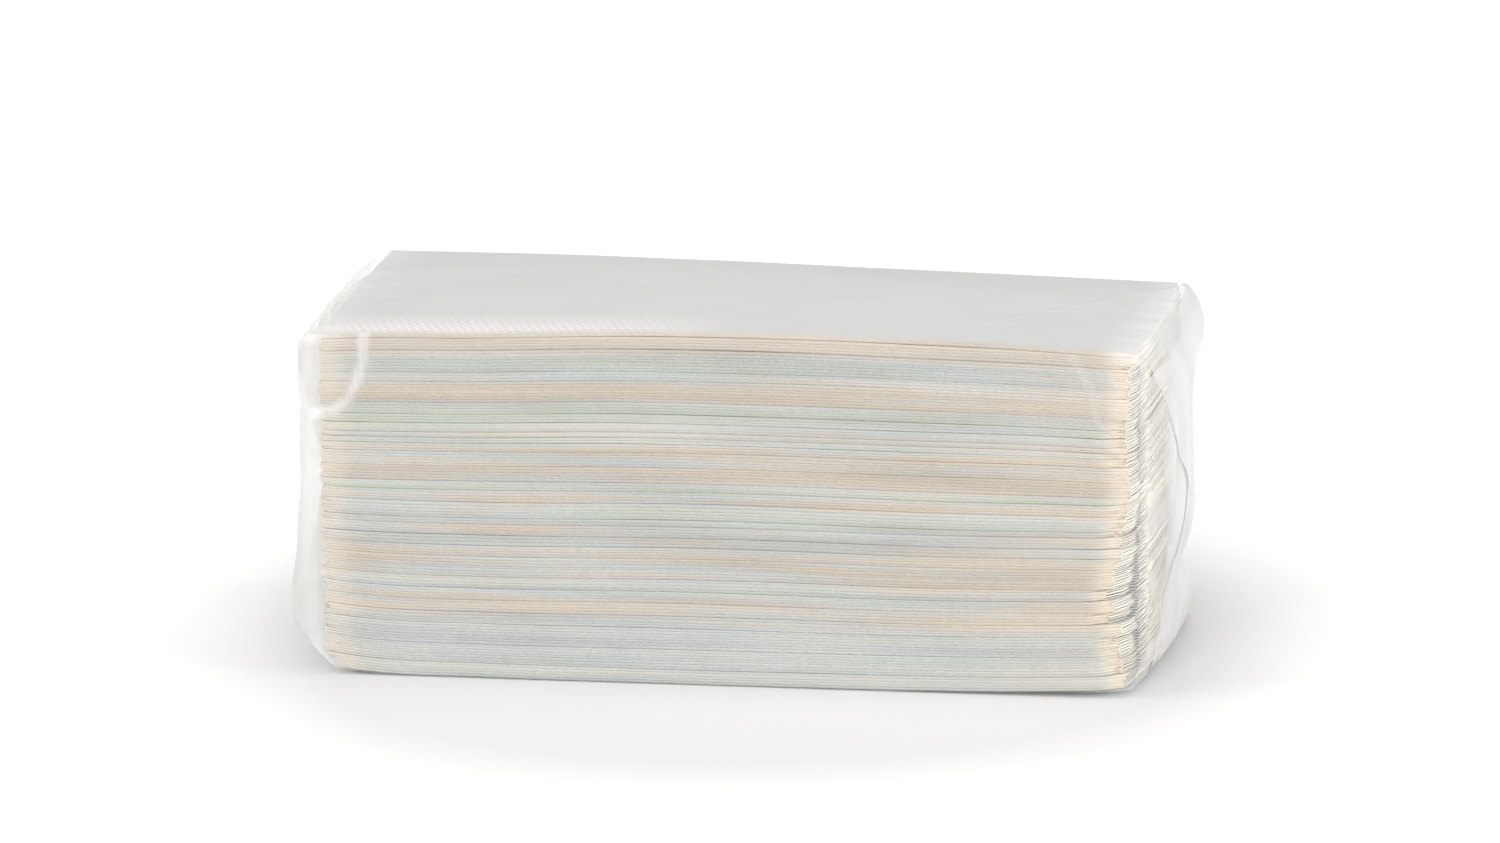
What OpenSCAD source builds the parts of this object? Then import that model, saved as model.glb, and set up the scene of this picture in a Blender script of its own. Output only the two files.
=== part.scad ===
// Pack of C-fold paper hand towels in a clear film wrap.
// The towels lie flat in one stack. Each is a single sheet folded in three along X, with a plain panel on
// top and both flaps tucked under it. The film is one tube round the stack. At each end its front and back
// are folded in first, then its bottom is folded up and its top folded down over them, like an envelope.
// The origin is on the floor under the middle of the pack. X runs along the folds, Y to the back, Z up.

/* [Towel] */
// Width of the sheet, measured along its folds
sheet_w = 230; // [190:1:260]
// Depth of the towel once it is folded
fold_d = 100; // [86:1:112]
// Thickness of the paper, all its plies together
paper_t = 0.24; // [0.18:0.01:0.3]
// Air between two layers of one towel
layer_gap = 0.03; // [0.02:0.01:0.06]
// How far the inner flap stops short of the front fold
inner_short = 4; // [2:0.5:30]
// How far the outer flap stops short of the back fold
outer_short = 7; // [2:0.5:40]

/* [Stack] */
// Number of towels in the pack
towel_count = 116; // [60:2:116]
// Air between one towel and the next
towel_gap = 0.06; // [0.04:0.01:0.1]
// Furthest that a towel has slipped along the stack
slip_x = 0.9; // [0:0.1:1.5]
// Furthest that a towel has slipped to the front or back
slip_y = 0.5; // [0:0.1:1]
// Largest angle that a towel has turned, in degrees
skew = 0.12; // [0:0.02:0.3]

/* [Film] */
// Thickness of the film
film_t = 0.06; // [0.04:0.01:0.1]
// Air between the stack and the film
film_gap = 0.25; // [0.2:0.05:0.6]
// Loose film between the end of the stack and the end panel
end_slack = 6; // [4:0.5:9]
// Radius of the film round the four long edges
long_edge_r = 1.6; // [1:0.1:3]

/* [End folds] */
// How far the top flap comes down over the bottom flap
flap_overlap = 5; // [2:0.5:8]
// Distance between one layer of the folded end and the next
layer_step = 0.45; // [0.35:0.05:0.6]
// Depth of the waves in the loose end panels
wave_h = 0.6; // [0:0.1:0.8]
// Height of the pack between one wave and the next
wave_l = 42; // [25:1:60]
// Depth of the upright creases in the end panels
crease_h = 0.2; // [0:0.05:0.3]
// Distance between one upright crease and the next
crease_l = 19; // [14:1:30]

/* [Hidden] */
towels_per_node = 2;
layer_pitch = paper_t + layer_gap;
towel_t = 3 * paper_t + 2 * layer_gap;
towel_pitch = towel_t + towel_gap;
stack_h = towel_count * towel_pitch - towel_gap;
stack_z = film_t + film_gap;

// The pairs of towels are counted from the bottom of the stack to the top.
function pair_name(n) = str("towel_pair_", n < 10 ? "0" : "", n);
NODES = concat(["film_wrap"], [for (n = [1:ceil(towel_count / towels_per_node)]) pair_name(n)]);

// A towel's share of the slip, from -1 to 1: a slow drift that its neighbours share, and a step of its own.
drift_deg = 19;
step_deg = 101;
function slip(i, phase) = 0.6 * sin(i * drift_deg + phase) + 0.4 * sin(i * step_deg + 2 * phase);

// One layer of paper from y0 to y1, with its underside at z0.
module layer(y0, y1, z0) {
    translate([y0, z0])
        square([y1 - y0, paper_t]);
}

// Half a ring of paper, open towards +Y.
module fold(inner_r) {
    outer_r = inner_r + paper_t;
    difference() {
        circle(r = outer_r, $fn = 48);
        circle(r = inner_r, $fn = 48);
        translate([0, -2 * outer_r])
            square(4 * outer_r);
    }
}

// Section of a towel with its front at -Y: the panel on top, the inner flap, and the outer flap below.
// The front fold goes round the inner flap, and the back fold joins the panel to the inner flap.
module towel_section() {
    front_y = -fold_d / 2 + towel_t / 2;
    back_y = fold_d / 2 - layer_gap / 2 - paper_t;
    layer(front_y, back_y, 2 * layer_pitch);
    layer(front_y + inner_short, back_y, layer_pitch);
    layer(front_y, fold_d / 2 - outer_short, 0);
    translate([front_y, towel_t / 2])
        fold(towel_t / 2 - paper_t);
    translate([back_y, 2 * layer_pitch - layer_gap / 2])
        mirror([1, 0])
            fold(layer_gap / 2);
}

module towel(i) {
    translate([slip_x * slip(i, 40), slip_y * slip(i, 200), stack_z + i * towel_pitch])
        rotate([0, 0, skew * slip(i, 310)])
            translate([-sheet_w / 2, 0, 0])
                rotate([90, 0, 90])
                    linear_extrude(height = sheet_w)
                        towel_section();
}

// Neighbouring towels that share a node, as separate sheets.
module towel_pair(n) {
    color([0.93, 0.91, 0.86])
        for (i = [(n - 1) * towels_per_node : min(n * towels_per_node, towel_count) - 1])
            towel(i);
}

// Middle surface of the film, measured from the middle of the pack. The rounded end edges keep inside the
// slack, so that the film clears the corners of the stack.
turn_room = sheet_w / 2 * sin(skew);
half_b = fold_d / 2 + slip_y + turn_room + film_gap + film_t / 2;
half_h = stack_h / 2 + film_gap + film_t / 2;
panel_x = sheet_w / 2 + slip_x + end_slack;
edge_r = end_slack - 2 * film_gap;
slit = 2;
rim_in = min(half_h + flap_overlap / 2, half_b - slit / 2);
fold_clear = 2 * layer_step;
fold_start = 1.8;
side_points = 6;
top_points = 7;
corner_points = 10;
edge_steps = 3;
panel_rings = 9;
flat_inset = 8;

// Rings from the middle of the tube to its cut edge, as [x, distance folded inwards, radius of the corners,
// overhang of the corners]. A radius of 0 marks a ring whose corners are folded.
edge_rings = [for (k = [0:edge_steps])
    let (a = 90 * k / edge_steps)
        [panel_x - edge_r + edge_r * sin(a), edge_r * (1 - cos(a)), long_edge_r, 0]];
start_rings = [[panel_x, edge_r + fold_start / 2, layer_step / 2, 0],
               [panel_x, edge_r + fold_start, layer_step / 8, 0.4 * layer_step]];
fold_rings = [for (k = [1:panel_rings])
    [panel_x, edge_r + fold_start + (rim_in - edge_r - fold_start) * k / panel_rings, 0, 0]];
half_rings = concat(edge_rings, start_rings, fold_rings);

// How far a ring has turned into the end panel, from 0 on the tube to 1 on the panel.
function turned(ring) = pow(max(0, (ring.x - panel_x + edge_r) / edge_r), 2);

// Share of the step with which the top flap rides over the bottom flap, from 0 above it to 1 on it.
ride_rise = 6;
function smooth(k) = k * k * (3 - 2 * k);
function lapped(z) = smooth(min(1, max(0, (flap_overlap + ride_rise - z) / ride_rise)));

// Waves of the loose end panel, the same for all its layers. The first crest is a little below the top.
crest_drop = 8;
function waves(y, z, end) =
    wave_h * cos(360 * (half_h - crest_drop - z) / wave_l + 30 * (1 - end)) * cos(30 + 70 * y / half_b)
    + crease_h * sin(360 * y / crease_l + 25 * sin(4 * z) + 80 * end);

// Corner of a ring, as [step outwards in layers, y, z]. It is a plain arc on the tube, which tightens and
// leans over where the folds start. From there it is the layer that is folded back under the flap, with one
// fold at its top and a slanting one at the flap's edge.
function arc_corner(b, h, w, r, lean) = [for (k = [1:corner_points])
    let (f = k / (corner_points + 1))
        [2 * w * f, -b + r * (1 - cos(90 * f)), h - r * (1 - sin(90 * f)) + lean * sin(360 * f)]];
function folded_corner(b, h) =
    let (top = half_h - edge_r - fold_clear, r = layer_step / 2)
        concat([[0, -b, top - r], [0.5, -b, top], [1, -b, top - r]],
               [for (k = [1:corner_points - 6])
                   [1, -b, top - r + (h + 2 * r - top) * k / (corner_points - 5)]],
               [[1, -b, h + r], [1.5, -b - r / sqrt(2), h - r / sqrt(2)], [2, -b + r, h]]);

// Quarter of a ring, from the middle of its side to the middle of its top, as [step outwards, y, z].
function quarter(ring) =
    let (b = half_b - ring[1], h = half_h - ring[1], w = turned(ring), r = ring[2],
         side_z = r > 0 ? h - r : half_h - edge_r - fold_clear - layer_step,
         top_y = r > 0 ? r : layer_step)
        concat([for (k = [0:side_points - 1]) [0, -b, side_z * (k + 0.5) / side_points]],
               r > 0 ? arc_corner(b, h, w, r, ring[3]) : folded_corner(b, h),
               [for (k = [0:top_points - 1]) [2 * w, -b + top_y + (b - top_y) * (k + 0.5) / top_points, h]]);

function backwards(list) = [for (k = [len(list) - 1:-1:0]) list[k]];

// Whole ring as [step outwards, y, z], up the front, over the top, down the back and along the bottom.
// Above the middle, the folded layers also step over the bottom flap.
function flat_ring(ring) =
    let (q = quarter(ring), w = turned(ring),
         upper = [for (p = q) [p[0] + (p[0] > 0 ? 2 * w * lapped(p[2]) : 0), p[1], p[2]]])
        concat(upper,
               [for (p = backwards(upper)) [p[0], -p[1], p[2]]],
               [for (p = q) [p[0], -p[1], -p[2]]],
               [for (p = backwards(q)) [p[0], p[1], -p[2]]]);
function placed_ring(ring, end) = [for (p = flat_ring(ring))
    [end * (ring.x + layer_step * p[0] + turned(ring) * waves(p[1], p[2], end)), p[1], p[2]]];

// Two rings keep the tube straight, and its underside flat, to a little way inside the rounded ends.
tube_rings = [for (side = [-1, 1]) [side * (panel_x - edge_r - flat_inset), 0, long_edge_r, 0]];
rings = concat([for (r = backwards(half_rings)) placed_ring(r, -1)],
               [for (r = tube_rings) placed_ring(r, 1)],
               [for (r = half_rings) placed_ring(r, 1)]);
ring_n = len(rings);
point_n = len(rings[0]);

// The film's two faces lie on either side of its middle surface.
function unit(v) = v / norm(v);
function normal_at(i, j) =
    unit(cross(rings[i][(j + 1) % point_n] - rings[i][(j + point_n - 1) % point_n],
               rings[min(i + 1, ring_n - 1)][j] - rings[max(i - 1, 0)][j]));
function face_points(side) = [for (i = [0:ring_n - 1], j = [0:point_n - 1])
    rings[i][j] + [0, 0, half_h + film_t / 2] + side * film_t / 2 * normal_at(i, j)];

// Two triangles from the corners a, b, c and d of a patch, turned over if flip is true.
function patch(a, b, c, d, flip) = flip ? [[a, c, b], [a, d, c]] : [[a, b, c], [a, c, d]];
function at(i, j) = i * point_n + j % point_n;
function face_patches(first, flip) = [for (i = [0:ring_n - 2], j = [0:point_n - 1])
    each patch(first + at(i, j), first + at(i, j + 1), first + at(i + 1, j + 1), first + at(i + 1, j), flip)];
function rim_patches(i, inner, flip) = [for (j = [0:point_n - 1])
    each patch(at(i, j), at(i, j + 1), inner + at(i, j + 1), inner + at(i, j), flip)];

module film_wrap() {
    inner = ring_n * point_n;
    color([0.9, 0.93, 0.95, 0.35])
        polyhedron(points = concat(face_points(1), face_points(-1)),
                   faces = concat(face_patches(0, true), face_patches(inner, false),
                                  rim_patches(0, inner, false), rim_patches(ring_n - 1, inner, true)),
                   convexity = 10);
}

film_wrap();
for (n = [1:len(NODES) - 1])
    towel_pair(n);
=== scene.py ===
"""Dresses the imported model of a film-wrapped stack of folded paper hand towels.

Each towel is a sheet of paper folded in three. Its section is carried along the stack with the swell, the
bunching and the ragged cut ends of a real wrapped bundle. The film is one thin sheet drawn tightly round the
stack and folded in at each end like an envelope.
"""
import logging
import math
from dataclasses import dataclass, field
from enum import Enum

import bpy
import numpy as np
from mathutils import Matrix, Vector


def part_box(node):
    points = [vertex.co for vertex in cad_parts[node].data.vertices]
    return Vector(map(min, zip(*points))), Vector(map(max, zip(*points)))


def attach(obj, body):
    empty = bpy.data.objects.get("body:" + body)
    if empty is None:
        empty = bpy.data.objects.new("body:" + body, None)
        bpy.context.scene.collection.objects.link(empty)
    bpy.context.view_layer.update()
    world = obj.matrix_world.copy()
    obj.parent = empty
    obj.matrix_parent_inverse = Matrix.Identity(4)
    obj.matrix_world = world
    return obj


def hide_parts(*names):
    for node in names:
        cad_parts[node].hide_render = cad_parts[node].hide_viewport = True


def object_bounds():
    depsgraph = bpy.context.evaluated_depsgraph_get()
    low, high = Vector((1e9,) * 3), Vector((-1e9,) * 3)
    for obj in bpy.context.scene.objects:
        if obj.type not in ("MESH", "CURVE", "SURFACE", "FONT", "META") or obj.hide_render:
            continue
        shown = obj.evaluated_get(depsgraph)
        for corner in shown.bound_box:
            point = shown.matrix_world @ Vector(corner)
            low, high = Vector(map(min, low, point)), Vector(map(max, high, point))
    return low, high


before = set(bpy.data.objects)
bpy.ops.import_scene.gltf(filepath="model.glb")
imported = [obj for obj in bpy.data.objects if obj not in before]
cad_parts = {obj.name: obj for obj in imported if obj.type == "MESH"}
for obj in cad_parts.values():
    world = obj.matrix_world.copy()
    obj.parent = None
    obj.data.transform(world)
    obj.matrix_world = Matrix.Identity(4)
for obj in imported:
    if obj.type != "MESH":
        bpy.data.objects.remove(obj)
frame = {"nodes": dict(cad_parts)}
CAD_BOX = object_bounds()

LOG = logging.getLogger("towel_pack")
MM = 0.001
ROOT = "root"

# Sizes of the solid model, in mm: the sheet along its folds, the folded depth, and the film's thickness.
SHEET_W = 230.0
FOLD_D = 100.0
FILM_T = 0.06
# Middle of the pack in the photo, in metres, and height of the hollow low in its right end, in mm.
PACK_MIDDLE = (0.0, 0.0, 0.0473)
HOLLOW_Z = 22.0


# Curves and numbers.


def srgb(red: float, green: float, blue: float) -> tuple[float, float, float, float]:
    """Turns a colour in screen values into the linear colour that a shader takes.

    Args:
        red, green, blue: Screen values from 0 to 255.

    Returns:
        The linear colour with full alpha.
    """
    c = np.array([red, green, blue]) / 255
    linear = np.where(c <= 0.04045, c / 12.92, ((c + 0.055) / 1.055) ** 2.4)
    return (*map(float, linear), 1.0)


def ease(t: np.ndarray) -> np.ndarray:
    """Smooth step: zero below 0, one above 1, and three t squared less two t cubed between them."""
    t = np.clip(t, 0, 1)
    return t * t * (3 - 2 * t)


def soft_curve(x: np.ndarray, knots: list[float], values: list[float]) -> np.ndarray:
    """Smooth curve through a few points.

    Each span is the cubic whose ends have the mean slope of the spans on either side (a Hermite spline).

    Args:
        x: Where the curve is wanted.
        knots: Rising positions of the points.
        values: The curve's value at each point.

    Returns:
        The curve's values at x, flat beyond the end points.
    """
    k, v = np.asarray(knots, float), np.asarray(values, float)
    x = np.clip(x, k[0], k[-1])
    slope = np.gradient(v, k)
    i = np.clip(np.searchsorted(k, x, side="right") - 1, 0, len(k) - 2)
    h = k[i + 1] - k[i]
    t = (x - k[i]) / h
    a, b = 2 * t**3 - 3 * t**2 + 1, t**3 - 2 * t**2 + t
    return a * v[i] + b * h * slope[i] + (1 - a) * v[i + 1] + (t**3 - t**2) * h * slope[i + 1]


def drift(rng: np.random.Generator, rows: int, x: np.ndarray, lengths: tuple[float, ...]) -> np.ndarray:
    """Smooth random rows, each a sum of sine waves whose lengths are given and whose phases are drawn.

    Args:
        rng: Seeded source of the phases and weights.
        rows: How many rows.
        x: Positions along a row.
        lengths: Wave lengths in the units of x, with equal weights.

    Returns:
        An array of rows by positions, within about -1 to 1.
    """
    total = np.zeros((rows, x.size))
    for length in lengths:
        phase = rng.uniform(0, 2 * math.pi, (rows, 1))
        stretch = rng.uniform(0.8, 1.25, (rows, 1))
        total += np.sin(2 * math.pi * x[None, :] / (length * stretch) + phase)
    return total / len(lengths)


@dataclass(frozen=True)
class PackShape:
    """The pack's overall form: a box that swells at its crown and lifts at its lower corners.

    Attributes:
        half_length, half_depth, height: Sizes of the stack of towels, in mm.
        stations: Positions along the pack, as shares of its half length, at which the lifts are given.
        top_front, top_back: How far the top rises over its front and back edges, in mm.
        foot_front, foot_back: How far the underside rises over its front and back edges, in mm.
        crown: Extra rise in the middle of the top, in mm.
        press_reach: Length at each end over which the pressed-in ends fade out, in mm.
        corner_left, corner_right: How far the lower front corners are pressed in, in mm.
        corner_reach: Height of those rounded corners, in mm.
        hollow, hollow_reach: Depth of the right end's hollow and half its height, in mm.
    """

    half_length: float
    half_depth: float
    height: float
    stations: tuple[float, ...] = (-1.0, -0.9, -0.6, -0.2, 0.1, 0.45, 0.8, 0.94, 1.0)
    top_front: tuple[float, ...] = (-1.3, -0.5, 0.4, 2.1, 2.4, 1.9, 0.7, -0.3, -1.0)
    top_back: tuple[float, ...] = (1.2, 1.3, 1.3, 0.7, 0.0, -0.9, -1.9, -2.4, -2.6)
    foot_front: tuple[float, ...] = (2.6, 1.0, 0.1, 0.0, 0.0, 0.3, 1.4, 2.3, 3.2)
    foot_back: tuple[float, ...] = (2.6, 1.0, 0.1, 0.0, 0.0, 0.0, 0.2, 0.5, 1.0)
    crown: float = 0.5
    press_reach: float = 18.0
    corner_left: float = 4.6
    corner_right: float = 2.2
    corner_reach: float = 6.0
    hollow: float = 4.4
    hollow_reach: float = 7.0

    def inset(self, y: np.ndarray, z: np.ndarray, end: np.ndarray) -> np.ndarray:
        """How far the film presses the towels' ends in.

        Every upright edge is pressed in a little, by the eighth power of the share of the depth. The lower
        front corners are rounded, and a hollow lies low in the right end's back edge.

        Args:
            y, z: Depth and height in the plain box, in mm.
            end: -1 for the left end and 1 for the right end.

        Returns:
            The inset in mm.
        """
        v = np.clip(y / self.half_depth, -1.1, 1.1)
        right = end > 0
        low = ease((self.corner_reach - z) / self.corner_reach)
        corner = np.where(right, self.corner_right, self.corner_left) * low * ease(0.2 - v)
        level = np.exp(-(((z - HOLLOW_Z) / self.hollow_reach) ** 2))
        hollow = np.where(right, self.hollow, 0.0) * level * ease(v + 0.1)
        edge = np.where(right, np.where(v > 0, 2.4, 0.8), np.where(v > 0, 0.8, 0.3))
        return edge * v**8 + corner + hollow

    def pull(self, x: np.ndarray, y: np.ndarray, z: np.ndarray) -> np.ndarray:
        """Place along X of a point once the ends are pressed in by the inset, which fades out inwards."""
        end = np.sign(x)
        fade = ease((np.abs(x) - self.half_length + self.press_reach) / self.press_reach)
        return x - end * self.inset(y, z, end) * fade

    def lift(self, x: np.ndarray, y: np.ndarray, z: np.ndarray) -> np.ndarray:
        """How far a point of the plain box rises.

        The lift of the underside and that of the top are each mixed from their front and back curves by the
        share of the depth, and then with each other by the share of the height.

        Args:
            x, y, z: Places in the plain box, in mm.

        Returns:
            The rise in mm.
        """
        knots = [s * self.half_length for s in self.stations]
        v = np.clip((y + self.half_depth) / (2 * self.half_depth), 0, 1)
        u = np.clip(z / self.height, 0, 1)
        top = (1 - v) * soft_curve(x, knots, self.top_front) + v * soft_curve(x, knots, self.top_back)
        along = np.clip(x / self.half_length, -1, 1)
        top = top + self.crown * 4 * v * (1 - v) * np.cos(0.5 * math.pi * along)
        foot = (1 - v) * soft_curve(x, knots, self.foot_front) + v * soft_curve(x, knots, self.foot_back)
        return u * top + (1 - u) * foot


# Meshes.


def make_mesh(name: str, points: np.ndarray, quads: np.ndarray, layers: dict[str, np.ndarray],
              sharp_deg: float = 60.0) -> bpy.types.Object:
    """Puts whole arrays of points and faces into a new object.

    Args:
        name: Name of the piece.
        points: Places of the points in metres, as rows of three.
        quads: Corners of each face, as rows of four.
        layers: Values at each point, by the name of the attribute that holds them.
        sharp_deg: Edges that turn more than this are shaded sharp.

    Returns:
        The new object, at the origin.
    """
    mesh = bpy.data.meshes.new(name)
    mesh.vertices.add(len(points))
    mesh.vertices.foreach_set("co", points.astype(np.float32).ravel())
    mesh.loops.add(quads.size)
    mesh.loops.foreach_set("vertex_index", quads.astype(np.int32).ravel())
    mesh.polygons.add(len(quads))
    mesh.polygons.foreach_set("loop_start", np.arange(0, quads.size, 4, dtype=np.int32))
    mesh.polygons.foreach_set("use_smooth", np.ones(len(quads), bool))
    mesh.update(calc_edges=True)
    mesh.validate()
    mesh.set_sharp_from_angle(angle=math.radians(sharp_deg))
    for layer, values in layers.items():
        attribute = mesh.attributes.new(layer, "FLOAT", "POINT")
        attribute.data.foreach_set("value", values.astype(np.float32).ravel())
    piece = bpy.data.objects.new(name, mesh)
    bpy.context.scene.collection.objects.link(piece)
    return piece


def tube_quads(stations: int, around: int) -> np.ndarray:
    """Faces of a tube whose points are stations by points around, wound so that they face outwards."""
    i, j = np.meshgrid(np.arange(stations - 1), np.arange(around), indexing="ij")
    k = (j + 1) % around
    near, far = i * around, (i + 1) * around
    return np.stack([near + j, near + k, far + k, far + j], -1).reshape(-1, 4)


def strip_caps(stations: int, around: int) -> np.ndarray:
    """Faces that close the ends of a swept strip, whose outline goes along one side and back on the other."""
    j = np.arange(around // 2 - 1)
    near = np.stack([j, around - 1 - j, around - 2 - j, j + 1], -1)
    far = near[:, ::-1] + (stations - 1) * around
    return np.concatenate([near, far])


# Shader helpers.


class NodeBench:
    """Adds and links shader nodes in one tree."""

    def __init__(self, tree: bpy.types.NodeTree) -> None:
        """Takes the tree to work in."""
        self.tree = tree

    def add(self, kind: str, **settings: object) -> bpy.types.Node:
        """Adds a node.

        Args:
            kind: Its Blender type.
            **settings: Properties to set on it.

        Returns:
            The node.
        """
        node = self.tree.nodes.new(kind)
        for key, value in settings.items():
            setattr(node, key, value)
        return node

    def link(self, source: object, target: object) -> None:
        """Links an output to an input, or sets the input to a plain number or colour."""
        if isinstance(source, bpy.types.NodeSocket):
            self.tree.links.new(source, target)
        else:
            target.default_value = source

    def fill(self, node: bpy.types.Node, inputs: dict[str | int, object]) -> bpy.types.Node:
        """Links or sets a node's inputs, by their names or places, and gives the node back."""
        for key, source in inputs.items():
            self.link(source, node.inputs[key])
        return node

    def group(self, tree: bpy.types.NodeTree, inputs: dict[str, object]) -> bpy.types.bpy_prop_collection:
        """Adds a shader group with its inputs filled, and gives its outputs."""
        return self.fill(self.add("ShaderNodeGroup", node_tree=tree), inputs).outputs

    def math(self, operation: str, a: object, b: object = 0.0, clamp: bool = False) -> bpy.types.NodeSocket:
        """One sum of two values, each a socket or a number."""
        node = self.add("ShaderNodeMath", operation=operation, use_clamp=clamp)
        return self.fill(node, {0: a, 1: b}).outputs[0]

    def vector(self, operation: str, a: object, b: object) -> bpy.types.NodeSocket:
        """One sum of two vectors, whose result is a number for a dot product or a distance."""
        node = self.fill(self.add("ShaderNodeVectorMath", operation=operation), {0: a, 1: b})
        return node.outputs["Value" if operation in ("DOT_PRODUCT", "DISTANCE") else "Vector"]

    def mix(self, share: object, a: object, b: object) -> bpy.types.NodeSocket:
        """Mixes two colours by a share."""
        node = self.add("ShaderNodeMix", data_type="RGBA")
        return self.fill(node, {0: share, 6: a, 7: b}).outputs[2]

    def value(self, name: str) -> bpy.types.NodeSocket:
        """Reads a number that the mesh holds at each point."""
        return self.add("ShaderNodeAttribute", attribute_name=name).outputs["Fac"]

    def span(self, value: object, low: float, high: float, to_low: float, to_high: float,
             soft: bool = False) -> bpy.types.NodeSocket:
        """Maps a value from one range to another, with no overrun, in a straight line or softly."""
        node = self.add("ShaderNodeMapRange", clamp=True)
        node.interpolation_type = "SMOOTHSTEP" if soft else "LINEAR"
        return self.fill(node, dict(enumerate((value, low, high, to_low, to_high)))).outputs[0]

    def place(self, scale: tuple[float, float, float] = (1, 1, 1)) -> bpy.types.NodeSocket:
        """Place on the piece, stretched by a scale along each axis."""
        place = self.add("ShaderNodeTexCoord").outputs["Object"]
        return self.fill(self.add("ShaderNodeMapping"), {"Scale": scale, "Vector": place}).outputs[0]

    def noise(self, place: object, scale: float, detail: float = 2.0,
              rough: float = 0.5) -> bpy.types.NodeSocket:
        """Cloudy noise from 0 to 1 at a place."""
        inputs = {"Vector": place, "Scale": scale, "Detail": detail, "Roughness": rough}
        return self.fill(self.add("ShaderNodeTexNoise"), inputs).outputs["Fac"]

    def bump(self, height: object, strength: float, depth: float) -> bpy.types.NodeSocket:
        """Normal of a surface that a height raises, where a height of one stands for the depth in metres."""
        inputs = {"Height": height, "Strength": strength, "Distance": depth}
        return self.fill(self.add("ShaderNodeBump"), inputs).outputs["Normal"]


def new_group(name: str, inputs: dict[str, float], outputs: tuple[str, ...],
              places: tuple[str, ...] = ("Place",)) -> tuple[bpy.types.NodeTree, NodeBench]:
    """Starts a shader group.

    Args:
        name: The group's name.
        inputs: Its number inputs with their usual values.
        outputs: Names of its number outputs.
        places: Names of its vector inputs, which come first.

    Returns:
        The group's tree, and a bench to fill it with.
    """
    tree = bpy.data.node_groups.new(name, "ShaderNodeTree")
    for key in places:
        tree.interface.new_socket(key, in_out="INPUT", socket_type="NodeSocketVector")
    for key, number in inputs.items():
        tree.interface.new_socket(key, in_out="INPUT", socket_type="NodeSocketFloat").default_value = number
    for key in outputs:
        tree.interface.new_socket(key, in_out="OUTPUT", socket_type="NodeSocketFloat")
    return tree, NodeBench(tree)


def new_material(name: str) -> tuple[bpy.types.Material, NodeBench, bpy.types.Node]:
    """Starts a material, and gives it with a bench to fill it with and its shader."""
    material = bpy.data.materials.new(name)
    material.use_nodes = True
    return material, NodeBench(material.node_tree), material.node_tree.nodes["Principled BSDF"]


def fibre_group() -> bpy.types.NodeTree:
    """Tissue paper: a height of crossed fibres and small lumps, and a mask of paler and darker clouds."""
    tree, b = new_group("paper_fibre", {"Fibres": 1.0, "Lumps": 1.0}, ("Height", "Clouds"))
    start, end = b.add("NodeGroupInput"), b.add("NodeGroupOutput")
    stretched = {"Scale": (0.35, 1.0, 1.0), "Vector": start.outputs["Place"]}
    along = b.fill(b.add("ShaderNodeMapping"), stretched).outputs[0]
    fibres = b.math("MULTIPLY", b.noise(along, 1900, 3, 0.6), start.outputs["Fibres"])
    lumps = b.math("MULTIPLY", b.noise(start.outputs["Place"], 420, 2), start.outputs["Lumps"])
    b.link(b.math("ADD", fibres, lumps), end.inputs["Height"])
    b.link(b.noise(start.outputs["Place"], 45, 3, 0.55), end.inputs["Clouds"])
    return tree


def emboss_group() -> bpy.types.NodeTree:
    """Embossed dots in staggered rows: the product of two crossing sine waves, cut off below zero."""
    tree, b = new_group("embossed_dots", {"Across": 2.4, "Deep": 6.0}, ("Height",))
    start, end = b.add("NodeGroupInput"), b.add("NodeGroupOutput")
    split = b.fill(b.add("ShaderNodeSeparateXYZ"), {0: start.outputs["Place"]})
    waves = []
    for axis, pitch in (("X", "Across"), ("Y", "Deep")):
        turn = b.math("DIVIDE", 2 * math.pi / MM, start.outputs[pitch])
        waves.append(b.math("SINE", b.math("MULTIPLY", split.outputs[axis], turn)))
    b.link(b.math("MAXIMUM", b.math("MULTIPLY", waves[0], waves[1]), 0.0), end.inputs["Height"])
    return tree


def crease_group() -> bpy.types.NodeTree:
    """How near a place is to a straight stretch of crease: 1 on it, easing to 0 at its half width.

    The place's share of the way along the stretch is its dot product with the stretch over the stretch's
    own, kept between 0 and 1. The distance is that from the point at this share.
    """
    tree, b = new_group("crease_stretch", {"Width": 1.0}, ("Closeness",), ("Place", "Start", "End"))
    begin, finish = b.add("NodeGroupInput"), b.add("NodeGroupOutput")
    away = b.vector("SUBTRACT", begin.outputs["Place"], begin.outputs["Start"])
    stretch = b.vector("SUBTRACT", begin.outputs["End"], begin.outputs["Start"])
    ahead = b.vector("DOT_PRODUCT", away, stretch)
    whole = b.vector("DOT_PRODUCT", stretch, stretch)
    share = b.math("DIVIDE", ahead, whole, clamp=True)
    along = b.fill(b.add("ShaderNodeVectorMath", operation="SCALE"), {0: stretch, "Scale": share}).outputs[0]
    far = b.math("DIVIDE", b.vector("DISTANCE", away, along), begin.outputs["Width"])
    b.link(b.span(far, 0.0, 1.0, 1.0, 0.0, soft=True), finish.inputs["Closeness"])
    return tree


# Finishes.


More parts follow.
